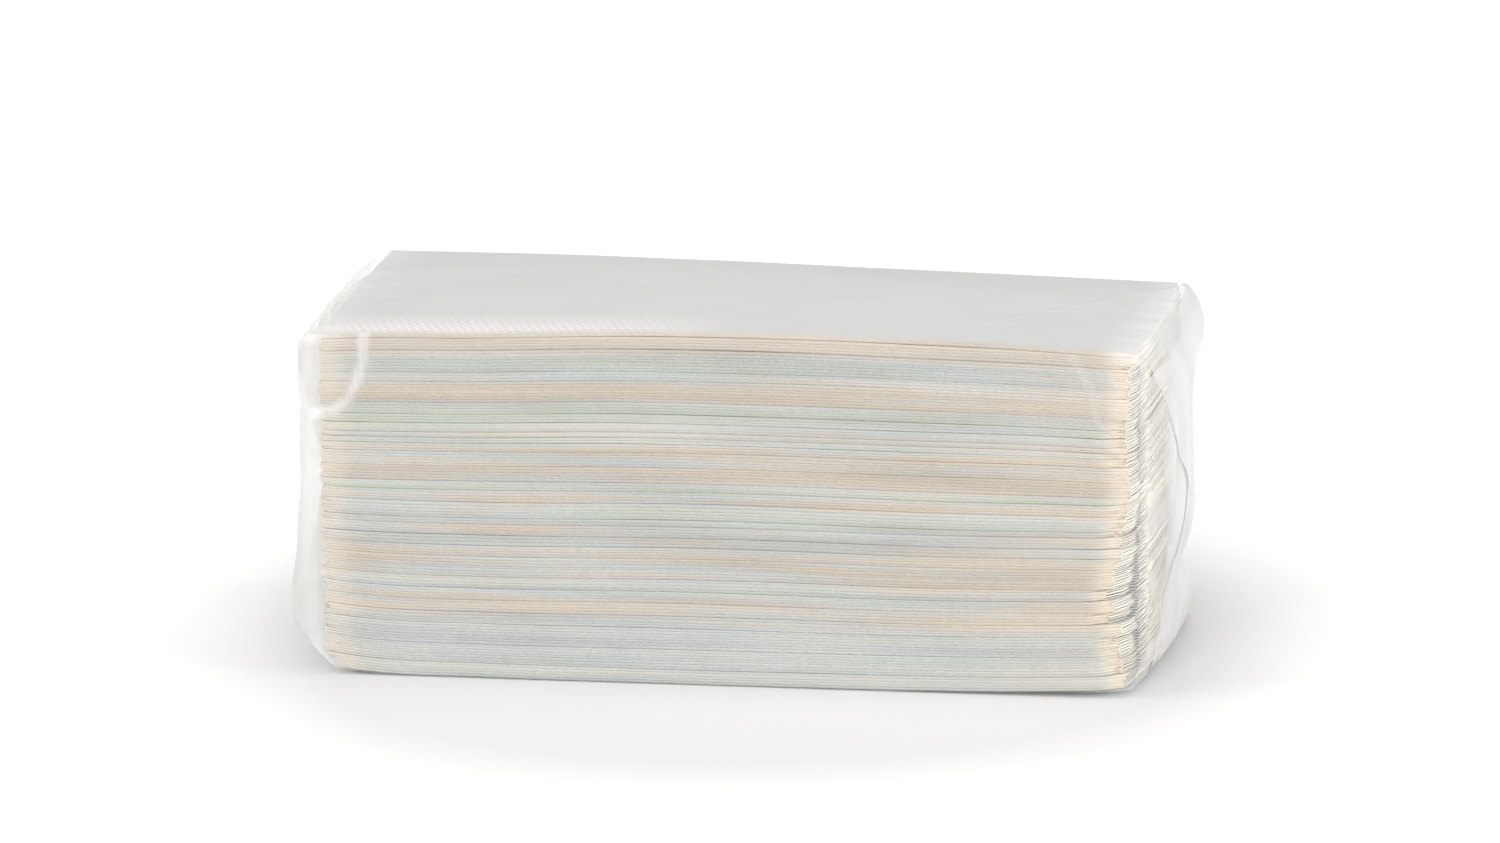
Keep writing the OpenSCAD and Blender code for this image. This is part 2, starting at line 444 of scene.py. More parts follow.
@dataclass(frozen=True)
class PaperFinish:
    """Uncoated tissue paper, with painted light that pales the ends of its folds and its cut ends, and
    painted shade on its darkest folds.

    Attributes:
        cream, grey, green: The three tones between which the towels vary.
        face: Colour of a flat, open face.
        blush: Pale colour of the border along the top's front edge, partly its embossed band and partly a
            painted highlight along that edge.
        painted_light: Painted light: the paler colour towards the ends of the folds and on the lightest
            folds.
        cut: Painted light: the near-white colour of the cut ends.
        painted_shade: Painted shade: the darker colour towards which the darkest folds go.
        streaks: How far the lightest and the darkest folds go over to the painted light and the painted shade
            colours.
        fold_grain: Height of the grain on the folds beside that on the open faces.
        roughness: Of the surface.
        emboss_height: Height of the embossed dots beside that of the fibres.
        dot_blush: Share of the blush between the embossed dots and on them.
        cloud, cloudiness: Colour of the faint clouds in the paper, and their largest share.
        bump_depth: Depth of the grain, in metres.
    """

    cream: tuple[float, float, float, float] = srgb(205, 192, 175)
    grey: tuple[float, float, float, float] = srgb(193, 197, 196)
    green: tuple[float, float, float, float] = srgb(191, 196, 182)
    face: tuple[float, float, float, float] = srgb(196, 196, 196)
    # Partly the embossed border's own colour, partly a painted highlight along the top's front edge.
    blush: tuple[float, float, float, float] = srgb(246, 235, 231)
    # Painted light: a paler colour for the fold ends and the lightest folds.
    painted_light: tuple[float, float, float, float] = srgb(232, 218, 199)
    # Painted light: the cut ends are coloured near white.
    cut: tuple[float, float, float, float] = srgb(253, 247, 232)
    # Painted shade: the darker colour of the darkest folds.
    painted_shade: tuple[float, float, float, float] = srgb(160, 154, 143)
    streaks: float = 0.28
    fold_grain: float = 0.3
    roughness: float = 0.92
    emboss_height: float = 8.0
    dot_blush: tuple[float, float] = (0.4, 1.0)
    cloud: tuple[float, float, float, float] = srgb(200, 198, 190)
    cloudiness: float = 0.05
    bump_depth: float = 0.0001

    def build(self, fibre: bpy.types.NodeTree, emboss: bpy.types.NodeTree) -> bpy.types.Material:
        """Makes the material.

        Args:
            fibre: The shared fibre group.
            emboss: The shared emboss group.

        Returns:
            The material, which reads tone, shade, glow, face, border and cut_end_painted_light from the mesh.
        """
        material, b, shader = new_material("towel_paper")
        grain, dots = (b.group(tree, {"Place": b.place()}) for tree in (fibre, emboss))
        tone = b.value("tone")
        warm = b.mix(b.span(tone, 0.0, 0.5, 0.0, 1.0), self.cream, self.grey)
        colour = b.mix(b.span(tone, 0.5, 1.0, 0.0, 1.0), warm, self.green)
        # Painted light and shade: the shade value draws each fold towards the paler or the darker colour.
        for limit, shaded in ((1.0, self.painted_light), (-1.0, self.painted_shade)):
            colour = b.mix(b.span(b.value("shade"), 0.0, limit, 0.0, self.streaks), colour, shaded)
        # Painted light towards the ends of the folds.
        colour = b.mix(b.value("painted_light"), colour, self.painted_light)
        colour = b.mix(b.value("face"), colour, self.face)
        # The pale border: partly the embossed band, partly a painted highlight along the top's front edge.
        border = b.value("border")
        inked = b.math("MULTIPLY", border, b.span(dots["Height"], 0.0, 0.8, *self.dot_blush))
        colour = b.mix(inked, colour, self.blush)
        # Painted light on the cut ends.
        colour = b.mix(b.value("cut_end_painted_light"), colour, self.cut)
        clouds = b.span(grain["Clouds"], 0.3, 0.7, 0.0, self.cloudiness)
        colour = b.mix(clouds, colour, self.cloud)
        pressed = b.math("MULTIPLY", b.math("MULTIPLY", border, dots["Height"]), self.emboss_height)
        open_face = b.span(b.value("face"), 0.0, 1.0, self.fold_grain, 1.0)
        fibres = b.math("MULTIPLY", grain["Height"], open_face)
        normal = b.bump(b.math("ADD", fibres, pressed), 0.25, self.bump_depth)
        b.fill(shader, {"Base Color": colour, "Normal": normal, "Roughness": self.roughness,
                        "Specular IOR Level": 0.2})
        return material


class Face(Enum):
    """A side of the film on which a crease is drawn, as the two axes of its path."""

    FRONT = (0, 2)
    TOP = (0, 1)
    RIGHT = (1, 2)


@dataclass(frozen=True)
class Crease:
    """A narrow crease along a line in the film.

    Attributes:
        face: The side that it lies on.
        path: Points that it passes, in mm: X and height on the front, X and depth on the top, or depth and
            height on the right end.
        width: Half width of the crease, in mm.
        haze: How much milkier the film is along it. Along the hook-shaped crease at the front left this
            whitish line is a painted reflection on the crease's real ridge.
        rise: How far it stands out in the material, beside the film's own ripples. It is 0 for a wide
            crease, which only the mesh holds.
        height: How far it stands out in the mesh, in mm.
    """

    face: Face
    path: tuple[tuple[float, float], ...]
    width: float
    haze: float
    rise: float
    height: float

    def near(self, x: np.ndarray, y: np.ndarray, z: np.ndarray) -> np.ndarray:
        """One on the crease, easing to zero at its half width, for places in mm."""
        u, v = ((x, y, z)[axis] for axis in self.face.value)
        points = np.stack([u, v], -1)[..., None, :]
        start, stretch = np.array(self.path[:-1]), np.diff(np.array(self.path), axis=0)
        share = np.clip(((points - start) * stretch).sum(-1) / (stretch**2).sum(-1), 0, 1)
        far = np.linalg.norm(points - start - share[..., None] * stretch, axis=-1).min(-1)
        return ease(1 - far / self.width)

    def on_face(self, b: NodeBench, place: bpy.types.NodeSocket) -> bpy.types.NodeSocket:
        """One on the crease's side of the film and zero on the others."""
        split = b.fill(b.add("ShaderNodeSeparateXYZ"), {0: place})
        axis, test, limit = {Face.FRONT: ("Y", "LESS_THAN", -48.5), Face.TOP: ("Z", "GREATER_THAN", 93.5),
                             Face.RIGHT: ("X", "GREATER_THAN", 112.5)}[self.face]
        return b.math(test, split.outputs[axis], limit * MM)

    def closeness(self, b: NodeBench, place: bpy.types.NodeSocket,
                  stretch: bpy.types.NodeTree) -> bpy.types.NodeSocket:
        """Draws the crease in a material.

        Args:
            b: Bench of the material.
            place: Place on the film.
            stretch: The shared crease group.

        Returns:
            One on the crease, easing to zero at its edges.
        """
        flat = np.zeros(3)
        flat[list(self.face.value)] = 1.0
        flattened = b.vector("MULTIPLY", place, tuple(flat))
        points = np.zeros((len(self.path), 3))
        points[:, list(self.face.value)] = np.array(self.path) * MM
        nearest: object = 0.0
        for start, end in zip(points[:-1], points[1:]):
            inputs = {"Place": flattened, "Start": tuple(start), "End": tuple(end), "Width": self.width * MM}
            nearest = b.math("MAXIMUM", nearest, b.group(stretch, inputs)["Closeness"])
        return b.math("MULTIPLY", nearest, self.on_face(b, place))


CREASES = (
    # The hook at the front left: a real ridge 0.3 mm high, whose whitish haze is a painted reflection along
    # it.
    Crease(Face.FRONT, ((-100.9, 97.5), (-101.3, 90.5), (-103.0, 84.6), (-106.0, 79.4), (-109.8, 76.4),
                        (-116.0, 75.3)), 2.7, 0.45, 0.0, 0.3),
    Crease(Face.TOP, ((119.0, 49.0), (66.0, -28.0)), 1.1, 0.12, 4.0, 0.15),
    Crease(Face.FRONT, ((97.5, 96.0), (103.5, 86.0), (104.5, 79.0)), 2.0, 0.14, 0.0, 0.25),
)


@dataclass(frozen=True)
class FilmFinish:
    """Thin clear film that turns milky where it is creased, folded in layers or seen edge on, with painted
    shade over the right end.

    Attributes:
        colour: The colour of its haze.
        roughness: Of the surface.
        edge_haze: Extra opacity where the film is seen edge on.
        clouds: Swing of the opacity over the surface.
        forward: Share of the light caught by the haze that still goes on to the paper.
        shaded_film_colour: Painted shade: the darker grey of its haze over the right end.
        bump_depth: Depth of its ripples, in metres.
        creases: Its creases.
    """

    colour: tuple[float, float, float, float] = srgb(243, 243, 243)
    roughness: float = 0.32
    edge_haze: float = 0.2
    clouds: float = 0.05
    forward: float = 0.7
    shaded_film_colour: tuple[float, float, float, float] = srgb(208, 209, 209)
    bump_depth: float = 0.0006
    creases: tuple[Crease, ...] = CREASES

    def build(self, stretch: bpy.types.NodeTree) -> bpy.types.Material:
        """Makes the material.

        Args:
            stretch: The shared crease group.

        Returns:
            The material, which reads haze and doubled from the mesh.
        """
        material, b, shader = new_material("clear_film")
        place = b.place(scale=(0.5, 1.0, 1.0))
        clouds = b.span(b.noise(place, 55, 3, 0.55), 0.3, 0.7, -self.clouds, self.clouds)
        facing = b.fill(b.add("ShaderNodeLayerWeight"), {"Blend": 0.25}).outputs["Facing"]
        edge = b.math("MULTIPLY", facing, self.edge_haze)
        marks, ridges = 0.0, 0.0
        for crease in (c for c in self.creases if c.rise > 0):
            line = crease.closeness(b, b.place(), stretch)
            marks = b.math("ADD", marks, b.math("MULTIPLY", line, crease.haze))
            ridges = b.math("ADD", ridges, b.math("MULTIPLY", line, crease.rise))
        haze = b.math("ADD", b.math("ADD", b.value("haze"), clouds), b.math("ADD", edge, marks), clamp=True)
        path = b.add("ShaderNodeLightPath").outputs
        onward = b.math("MAXIMUM", path["Is Shadow Ray"], path["Is Diffuse Ray"])
        caught = b.math("SUBTRACT", 1.0, b.math("MULTIPLY", onward, self.forward))
        ripples = b.noise(b.place(scale=(0.4, 1.0, 1.0)), 130, 2)
        # Painted shade: over the right end the haze takes a darker grey.
        b.fill(shader, {"Alpha": b.math("MULTIPLY", haze, caught),
                        "Normal": b.bump(b.math("ADD", ripples, ridges), 0.3, self.bump_depth),
                        "Base Color": b.mix(b.value("doubled_and_shaded"), self.colour, self.shaded_film_colour),
                        "Roughness": self.roughness, "IOR": 1.5, "Specular IOR Level": 0.4})
        return material


# Towels.


@dataclass
class TowelSection:
    """Section of one towel across its folds, with its front at -Y, as in the solid model.

    Attributes:
        depth: From the front fold to the back fold, in mm.
        paper: Thickness of the paper.
        gap: Air between two layers.
        inner_short, outer_short: How far each flap stops short of the far fold.
        press: Power of the cosine that flattens the front fold: 1 for a round fold, 0 for a square one.
    """

    depth: float = FOLD_D
    paper: float = 0.24
    gap: float = 0.03
    inner_short: float = 4.0
    outer_short: float = 7.0
    press: float = 0.1

    @property
    def thickness(self) -> float:
        """Height of the three layers."""
        return 3 * self.paper + 2 * self.gap

    def centre_line(self) -> np.ndarray:
        """Middle line of the folded strip.

        It goes along the outer flap to the front, half round the front fold, back along the panel, half
        round the tight back fold, and forward along the inner flap. The front fold is a flattened half
        circle, as in a pressed stack.

        Returns:
            Rows of depth and height, in mm, from the towel's middle and its underside.
        """
        t, pitch = self.paper, self.paper + self.gap
        front = -self.depth / 2 + self.thickness / 2
        back = self.depth / 2 - self.gap / 2 - t
        across = (self.thickness - t) / 2
        flat = np.array([1.0, 0.62, 0.25, 0.06, 0.0])
        outer = np.stack([front + (self.depth / 2 - self.outer_short - front) * flat, np.full(5, t / 2)], -1)
        a = np.radians([-83.0, -60.0, 0.0, 60.0, 83.0])
        rise = self.thickness / 2 + across * np.sin(a)
        fold = np.stack([front - across * np.cos(a) ** self.press, rise], -1)
        panel = np.stack([front + (back - front) * flat[::-1], np.full(5, self.thickness - t / 2)], -1)
        c = np.radians(np.linspace(90, -90, 5)[1:-1])
        middle = self.thickness - t / 2 - pitch / 2
        turn = np.stack([back + pitch / 2 * np.cos(c), middle + pitch / 2 * np.sin(c)], -1)
        inner = np.stack([front + self.inner_short + (back - front - self.inner_short) * flat[:4],
                          np.full(4, t / 2 + pitch)], -1)
        return np.concatenate([outer, fold, panel, turn, inner])

    def outline(self) -> np.ndarray:
        """Closed outline of the strip: its middle line, moved out by half the paper on either side.

        Returns:
            Rows of depth and height, in mm.
        """
        line = self.centre_line()
        step = np.gradient(line, axis=0)
        step /= np.linalg.norm(step, axis=1, keepdims=True)
        side = np.stack([step[:, 1], -step[:, 0]], -1) * self.paper / 2
        return np.concatenate([line + side, (line - side)[::-1]])


@dataclass
class TowelStack:
    """The stack of folded towels.

    Attributes:
        shape: Form of the pack.
        count: Number of towels.
        length: Of a sheet along its folds, in mm.
        floor: Height of the lowest towel's underside, in mm.
        top: Height of the highest towel's top, in mm.
        section: Section of a towel.
        sections: How many sections a towel has along its length.
        crowding: Power that draws the sections together towards the cut ends.
        cut_lip: Length at each end over which the colour goes over to the painted light of the cut ends, in
            mm.
        per_node: Towels in one node of the solid model.
        nodes_per_piece: Nodes that one piece stands for.
        seed: Of the bunching and the ragged ends.
        bunch_sizes, bunch_odds: Numbers of towels in a bunch, and how often each comes.
        bunch_gap: Least and greatest gap over a bunch, beside the thickness of a towel.
        bunch_tones, tone_odds: Tones that a bunch can have, and how often each comes.
        height_drift, height_spread: How much a towel's share of the height wanders, and differs from others.
        towel_slip, layer_slip: Spread of the ragged ends of the towels and of their layers, in mm.
        slip_range: Limits of both together, in mm.
        left_slant: Furthest that a fold is cut back at the left end, in mm.
        fold_reach: Depth over which a fold's own slip fades out, in mm.
        bunch_ends: Number of the last towel in each bunch, set by heights.
    """

    shape: PackShape
    count: int
    length: float
    floor: float
    top: float
    section: TowelSection = field(default_factory=TowelSection)
    sections: int = 60
    crowding: float = 1.6
    cut_lip: float = 0.12
    per_node: int = 2
    nodes_per_piece: int = 8
    seed: int = 7
    bunch_sizes: tuple[int, ...] = (2, 3, 4, 5, 7)
    bunch_odds: tuple[float, ...] = (0.16, 0.28, 0.26, 0.18, 0.12)
    bunch_gap: tuple[float, float] = (0.02, 0.16)
    bunch_tones: tuple[float, ...] = (0.0, 0.2, 0.45, 0.6, 0.95)
    tone_odds: tuple[float, ...] = (0.24, 0.2, 0.24, 0.14, 0.18)
    height_drift: float = 0.06
    height_spread: float = 0.12
    towel_slip: float = 0.22
    layer_slip: float = 0.15
    slip_range: tuple[float, float] = (-1.3, 0.8)
    left_slant: float = 1.6
    fold_reach: float = 14.0
    bunch_ends: np.ndarray = field(init=False, repr=False)

    def stations(self) -> np.ndarray:
        """Positions of the sections along a towel, from -1 to 1, closer together towards the cut ends."""
        s = np.linspace(-1, 1, self.sections)
        s = np.sign(s) * (1 - (1 - np.abs(s)) ** self.crowding)
        lip = 1 - self.cut_lip / (self.length / 2)
        return np.concatenate([[-1, -lip], s[1:-1], [lip, 1]])

    def heights(self, rng: np.random.Generator, s: np.ndarray) -> tuple[np.ndarray, np.ndarray]:
        """Underside and thickness of every towel at every station.

        A towel's share of the height wanders along the stack. Towels lie in bunches of two to seven, with a
        wider gap over each bunch that opens towards the cut ends. The shares are scaled so that they fill
        the height of the stack.

        Args:
            rng: Seeded source.
            s: Stations from -1 to 1.

        Returns:
            Two arrays of towels by stations, in mm.
        """
        x = s * self.length / 2
        body = 1 + self.height_drift * drift(rng, self.count, x, (300.0, 130.0))
        body = body + self.height_spread * rng.normal(size=(self.count, 1))
        body = np.clip(body, 0.62, 1.5)
        gap = np.full((self.count, 1), 0.01) * np.ones_like(body)
        ends = np.cumsum(rng.choice(self.bunch_sizes, size=self.count, p=self.bunch_odds)) - 1
        ends = ends[ends < self.count - 1]
        wide = rng.uniform(*self.bunch_gap, (ends.size, 1))
        wide = wide * (1 + 0.6 * drift(rng, ends.size, x, (240.0, 90.0)))
        gap[ends] += wide * (0.8 + 0.6 * ease((np.abs(s) - 0.86) / 0.14))
        share = np.concatenate([body * self.section.thickness, gap * self.section.thickness], 0)
        scale = (self.top - self.floor) / (share.sum(0) - gap[-1] * self.section.thickness)
        body, gap = body * self.section.thickness * scale, gap * self.section.thickness * scale
        low = self.floor + np.concatenate([np.zeros((1, s.size)), np.cumsum((body + gap)[:-1], 0)], 0)
        self.bunch_ends = ends
        return low, body

    def tones(self, rng: np.random.Generator, s: np.ndarray) -> np.ndarray:
        """Tone at every boundary between towels, from 0 for cream over 0.5 for grey to 1 for green.

        Bunches of neighbours share a tone, each towel departs a little from it, and it drifts along the fold.
        The lowest towels are grey and the highest are cream.
        """
        x = s * self.length / 2
        bunch = np.searchsorted(self.bunch_ends, np.arange(self.count + 1))
        shared = rng.choice(self.bunch_tones, size=bunch.max() + 1, p=self.tone_odds)
        own = rng.normal(0, 0.22, (self.count + 1, 1)) + 0.45 * drift(rng, self.count + 1, x, (210.0, 90.0))
        tone = self.blended(shared[bunch][:, None] + own) + 0.04 - 0.12 * ease((s + 0.1) / 0.7)
        u = np.arange(self.count + 1)[:, None] / self.count
        tone = tone + (0.55 - tone) * ease((0.22 - u) / 0.08)
        tone = tone + (0.05 - tone) * 0.9 * ease((u - 0.93) / 0.03)
        return np.clip(tone, 0, 1)

    @staticmethod
    def blended(rows: np.ndarray) -> np.ndarray:
        """Each row mixed with its neighbours: half of itself and a quarter of each."""
        wide = np.concatenate([rows[:1], rows, rows[-1:]])
        return 0.25 * wide[:-2] + 0.5 * wide[1:-1] + 0.25 * wide[2:]

    def shades(self, rng: np.random.Generator, s: np.ndarray) -> np.ndarray:
        """Painted light and shade of the folds at every boundary between towels, from -1 to 1, in streaks and
        blocks, lighter towards the bottom of the stack and darker towards the top.
        """
        x = s * self.length / 2
        rows = rng.normal(0, 0.5, (self.count + 1, 1)) + 0.9 * drift(rng, self.count + 1, x, (260.0, 110.0))
        block = np.arange(self.count + 1) // 8
        wide = rng.normal(0, 0.3, (block.max() + 1, 1)) + 0.4 * drift(rng, block.max() + 1, x, (300.0, 150.0))
        u = np.arange(self.count + 1)[:, None] / self.count
        fall = 0.45 * ease((0.25 - u) / 0.15) - 0.4 * ease((u - 0.6) / 0.2)
        return np.clip(self.blended(rows) + wide[block] + fall, -1, 1)

    def bulges(self, rng: np.random.Generator, s: np.ndarray) -> np.ndarray:
        """How far the fronts of the folds stand out at every boundary between towels, in mm.

        Within a bunch it is one less the square of the distance from the bunch's middle, times a depth that
        drifts along the fold.
        """
        x = s * self.length / 2
        edge = np.concatenate([[0], self.bunch_ends + 1, [self.count]])
        place = np.arange(self.count + 1)
        bunch = np.clip(np.searchsorted(edge, place, side="right") - 1, 0, edge.size - 2)
        across = 2 * (place - edge[bunch]) / (edge[bunch + 1] - edge[bunch]) - 1
        depth = 0.26 + 0.2 * drift(rng, edge.size - 1, x, (230.0, 95.0))
        depth = depth + 0.1 * rng.normal(size=(edge.size - 1, 1))
        return (1 - across**2)[:, None] * np.clip(depth, 0.0, 0.6)[bunch]

    def build(self, paper: bpy.types.Material, nodes: list[str]) -> list[bpy.types.Object]:
        """Makes every towel and joins them into pieces.

        A towel's points are its section, pressed to its share of the height, moved to the front or back by
        how far that fold stands out, and carried along X to the ragged end of that layer. The whole stack
        then takes the lift of the pack's form.

        Args:
            paper: Their material.
            nodes: The nodes of the solid model that they stand for, from the bottom to the top.

        Returns:
            The pieces.
        """
        rng = np.random.default_rng(self.seed)
        s = self.stations()
        low, thick = self.heights(rng, s)
        outline = self.section.outline()
        y0, z0 = outline[:, 0], outline[:, 1]
        share = np.clip(z0 / self.section.thickness, 0, 1)
        tones, shades, bulge = (rows[:-1, :, None] * (1 - share) + rows[1:, :, None] * share
                                for rows in (self.tones(rng, s), self.shades(rng, s), self.bulges(rng, s)))
        n, k, p = self.count, s.size, len(outline)
        x_line = s * self.length / 2

        inside = self.section.depth / 2 - self.fold_reach
        near_front, near_back = ease((-y0 - inside) / self.fold_reach), ease((y0 - inside) / self.fold_reach)
        bunch = np.searchsorted(self.bunch_ends, np.arange(n))
        group = drift(rng, bunch.max() + 1, x_line, (240.0, 100.0))[bunch]
        front = 0.16 * group - 0.15
        right = s > 0
        curl = ease((np.abs(s) - np.where(right, 0.93, 0.97)) / np.where(right, 0.07, 0.03))
        bunched = rng.random((bunch.max() + 1, 1))[bunch]
        rough = 0.7 * bunched**2 + 0.3 * rng.uniform(0.0, 1.0, (n, 1)) ** 2
        rough = rough * (0.5 + 0.5 * rng.random((n, k)))
        front = front - curl * np.where(right, 1.2 + 3.2 * rough, 0.3 + 0.8 * rough)
        back = 0.35 * drift(rng, n, x_line, (140.0, 50.0))

        layer = np.clip(np.round((z0 / self.section.thickness) * 3 - 0.5), 0, 2).astype(int)
        ragged = rng.normal(0, self.towel_slip, (n, 1, 1))
        ragged = ragged + rng.normal(0, self.layer_slip, (n, 2, 3))[:, :, layer]
        ragged = np.clip(ragged, *self.slip_range)
        u = np.arange(n) / n
        cut_back = soft_curve(u, [0.0, 0.1, 0.2, 0.4, 0.48, 0.7, 1.0], [2.5, 4.5, 7.5, 7.5, 3.5, 2.5, 1.5])
        cut_back = cut_back[:, None] * (0.5 + 0.7 * bunched) + 0.6 * rng.random((n, 1))
        slant = np.stack([self.left_slant * rng.random((n, 1)), cut_back], 1)
        ragged = ragged - slant * near_front
        end = self.length / 2 + np.where(s[None, :, None] < 0, ragged[:, :1], ragged[:, 1:])

        x = s[None, :, None] * end
        out = front[:, :, None] + bulge * (1 - 0.6 * curl[:, None])
        y = y0 - out * near_front + back[:, :, None] * near_back
        z = low[:, :, None] + z0[None, None, :] / self.section.thickness * thick[:, :, None]
        x = self.shape.pull(x, y, z)
        z = z + self.shape.lift(x, y, z)
        points = np.stack([x, y, z], -1) * MM

        # Painted light: the last section at each end takes the near-white cut colour.
        cut = np.broadcast_to((np.abs(s) == 1)[None, :, None], (n, k, p))
        face = np.broadcast_to(ease((y0 + self.section.depth / 2 - 1.2) / 2.5)[None, None, :], (n, k, p))
        # Pale border along the top's front edge: 24 mm wide at the left, partly embossed band, narrowing to a
        # 4 mm painted highlight.
        reach = soft_curve(s, [-1.0, -0.3, 0.2, 1.0], [24.0, 14.0, 4.0, 4.0])[None, :, None]
        border = ease((reach - (y0 + self.section.depth / 2)[None, None, :]) / (0.7 * reach)) * face
        # Painted light: the folds turn paler towards their ends, most of all at the right end.
        painted_light = 0.15 * ease((s - 0.6) / 0.3) + 0.85 * ease((s - 0.93) / 0.06) + 0.6 * ease((-s - 0.9) / 0.09)
        painted_light = np.broadcast_to(painted_light[None, :, None], (n, k, p)) * (1 - face)
        quads = np.concatenate([tube_quads(k, p), strip_caps(k, p)])

        layers = {"tone": tones, "shade": shades, "face": face,
                  "border": border, "painted_light": painted_light, "cut_end_painted_light": cut}
        pieces = []
        groups = [nodes[i:i + self.nodes_per_piece] for i in range(0, len(nodes) - 1, self.nodes_per_piece)]
        groups[-1] = [m for m in groups[-1] if m != nodes[-1]]
        groups.append(nodes[-1:])
        first = 0
        for number, members in enumerate(groups, 1):
            last = first + len(members) * self.per_node
            rows = slice(first, last)
            offsets = (np.arange(last - first) * k * p)[:, None, None]
            name = "top_towels" if members == nodes[-1:] else f"towel_bundle_{number}"
            piece = make_mesh(name, points[rows].reshape(-1, 3), (quads[None] + offsets).reshape(-1, 4),
                              {layer: values[rows] for layer, values in layers.items()})
            piece.data.materials.append(paper)
            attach(piece, ROOT)
            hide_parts(*members)
            LOG.info("%s: towels %d to %d, %d faces", name, first + 1, last, len(piece.data.polygons))
            pieces.append(piece)
            first = last
        return pieces


# Film.


@dataclass(frozen=True)
class Ripple:
    """A wave of the film that runs round and along the tube.

    Attributes:
        height: Half of its height, in mm.
        turns: Waves in one turn round the tube.
        slope: How far its phase moves along the tube, in radians per mm.
        phase: Where it starts, in radians.
    """

    height: float
    turns: float
    slope: float
    phase: float = 0.0

    def rise(self, x: np.ndarray, around: np.ndarray) -> np.ndarray:
        """How far it stands out, for places along the tube in mm and angles round it: a sine from zero up."""
        return self.height * (1 + np.sin(self.turns * around + self.slope * x + self.phase))


GATHERS = (Ripple(0.28, 23, 0.05), Ripple(0.16, 41, -0.09, 1.0))
SLOW_WAVES = (Ripple(0.12, 3, 0.07), Ripple(0.08, -5, 0.19, 1.0))


